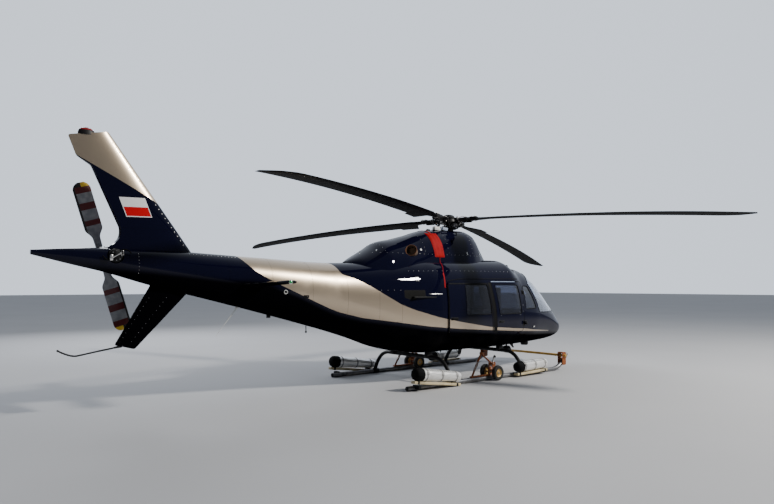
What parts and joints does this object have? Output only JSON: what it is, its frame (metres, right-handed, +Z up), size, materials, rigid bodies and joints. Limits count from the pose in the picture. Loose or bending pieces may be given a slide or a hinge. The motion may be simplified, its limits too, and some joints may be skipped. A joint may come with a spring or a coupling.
{
  "type": "single-engine utility helicopter on skids, parked",
  "caption": "Helicopter on skids with stowed floats and ground wheels: hollow cabin with hinged and sliding doors, main rotor, tail boom, fins, stabilisers and tail rotor",
  "frame": {"origin": "on the ground under the middle of the helicopter's bounding box", "axes": "+X towards the nose, +Y to port, +Z up"},
  "size_m": [12.689, 10.399, 3.885],
  "materials": {
    "body_paint": "gloss navy black with a warm metallic band, orange peel, rivets",
    "cabin_glass": "tinted acrylic, clear and glossy",
    "black_metal": "satin black paint with scuffs",
    "blade_black": "matt black erosion-worn paint",
    "blade_grey": "grey paint with dark red bands and a yellow tip",
    "bare_steel": "heat-stained bare metal",
    "red_fabric": "coated red cloth",
    "float_fabric": "silver-white coated cloth, creased",
    "yellow_paint": "worn yellow paint",
    "orange_paint": "worn orange paint",
    "tyre_rubber": "small solid tyres on gold-coloured hubs",
    "red_lens": "red lamp lens on a dark base",
    "seat_leather": "sewn light leather",
    "dark_plastic": "matt dark panel"
  },
  "bodies": {
    "airframe": {"aft_fuselage": "body_paint", "cabin_frame": "body_paint", "cross_tube_front": "black_metal", "cross_tube_rear": "black_metal", "engine_and_gearbox": "bare_steel", "engine_cowl": "body_paint", "exhaust_left": "bare_steel", "exhaust_right": "bare_steel", "fin_beacon": "red_lens", "fin_lower": "body_paint", "fin_upper": "body_paint", "float_front_left": "float_fabric", "float_front_right": "float_fabric", "float_rear_left": "float_fabric", "float_rear_right": "float_fabric", "instrument_panel": "dark_plastic", "intake_cover_left": "red_fabric", "intake_cover_right": "red_fabric", "landing_light": "black_metal", "mast_fairing": "body_paint", "nose_cap": "body_paint", "quarter_window_left": "cabin_glass", "quarter_window_right": "cabin_glass", "rear_bench": "seat_leather", "seat_front_left": "seat_leather", "seat_front_right": "seat_leather", "skid_left": "black_metal", "skid_right": "black_metal", "stabiliser_left": "body_paint", "stabiliser_right": "body_paint", "tail_boom": "body_paint", "tail_cone": "body_paint", "tail_gearbox": "bare_steel", "tail_skid": "black_metal", "tow_bar": "yellow_paint", "underfloor_hull": "body_paint", "wheel_carrier_left": "orange_paint", "wheel_carrier_right": "orange_paint", "windshield_left": "cabin_glass", "windshield_right": "cabin_glass"},
    "main_rotor": {"rotor_head": "black_metal", "main_blade_1": "blade_black", "main_blade_2": "blade_black", "main_blade_3": "blade_black", "main_blade_4": "blade_black"},
    "tail_rotor": {"tail_hub": "bare_steel", "tail_blade_1": "blade_grey", "tail_blade_2": "blade_grey"},
    "door_front_left_body": {"door_front_left": "body_paint", "door_front_glass_left": "cabin_glass"},
    "door_rear_left_body": {"door_rear_left": "body_paint", "door_rear_glass_left": "cabin_glass"},
    "handling_wheels_left_body": {"handling_wheels_left": "tyre_rubber"},
    "door_front_right_body": {"door_front_right": "body_paint", "door_front_glass_right": "cabin_glass"},
    "door_rear_right_body": {"door_rear_right": "body_paint", "door_rear_glass_right": "cabin_glass"},
    "handling_wheels_right_body": {"handling_wheels_right": "tyre_rubber"}
  },
  "joints": [
    {"name": "main_rotor_spin", "type": "hinge", "parent": "airframe", "child": "main_rotor", "pos_m": [1.18, 0, 3.07], "axis": [0.0809, 0.0465, 0.9956], "continuous": true},
    {"name": "tail_rotor_spin", "type": "hinge", "parent": "airframe", "child": "tail_rotor", "pos_m": [-5.35, 0.45, 2.165], "axis": [0, 1, 0], "continuous": true},
    {"name": "front_door_left_hinge", "type": "hinge", "parent": "airframe", "child": "door_front_left_body", "pos_m": [2.54, 0.8218, 1.335], "axis": [0, 0.1191, -0.9929], "range_deg": [0, 75]},
    {"name": "rear_door_left_slide", "type": "slide", "parent": "airframe", "child": "door_rear_left_body", "axis": [-1, 0, 0], "range_m": [0, 0.84]},
    {"name": "handling_wheels_left_spin", "type": "hinge", "parent": "airframe", "child": "handling_wheels_left_body", "pos_m": [1.21, 1.075, 0.142], "axis": [0, 1, 0], "continuous": true},
    {"name": "front_door_right_hinge", "type": "hinge", "parent": "airframe", "child": "door_front_right_body", "pos_m": [2.54, -0.8218, 1.335], "axis": [0, 0.1191, 0.9929], "range_deg": [0, 75]},
    {"name": "rear_door_right_slide", "type": "slide", "parent": "airframe", "child": "door_rear_right_body", "axis": [-1, 0, 0], "range_m": [-0.12, 0.72]},
    {"name": "handling_wheels_right_spin", "type": "hinge", "parent": "airframe", "child": "handling_wheels_right_body", "pos_m": [1.21, -1.075, 0.142], "axis": [0, 1, 0], "continuous": true}
  ]
}
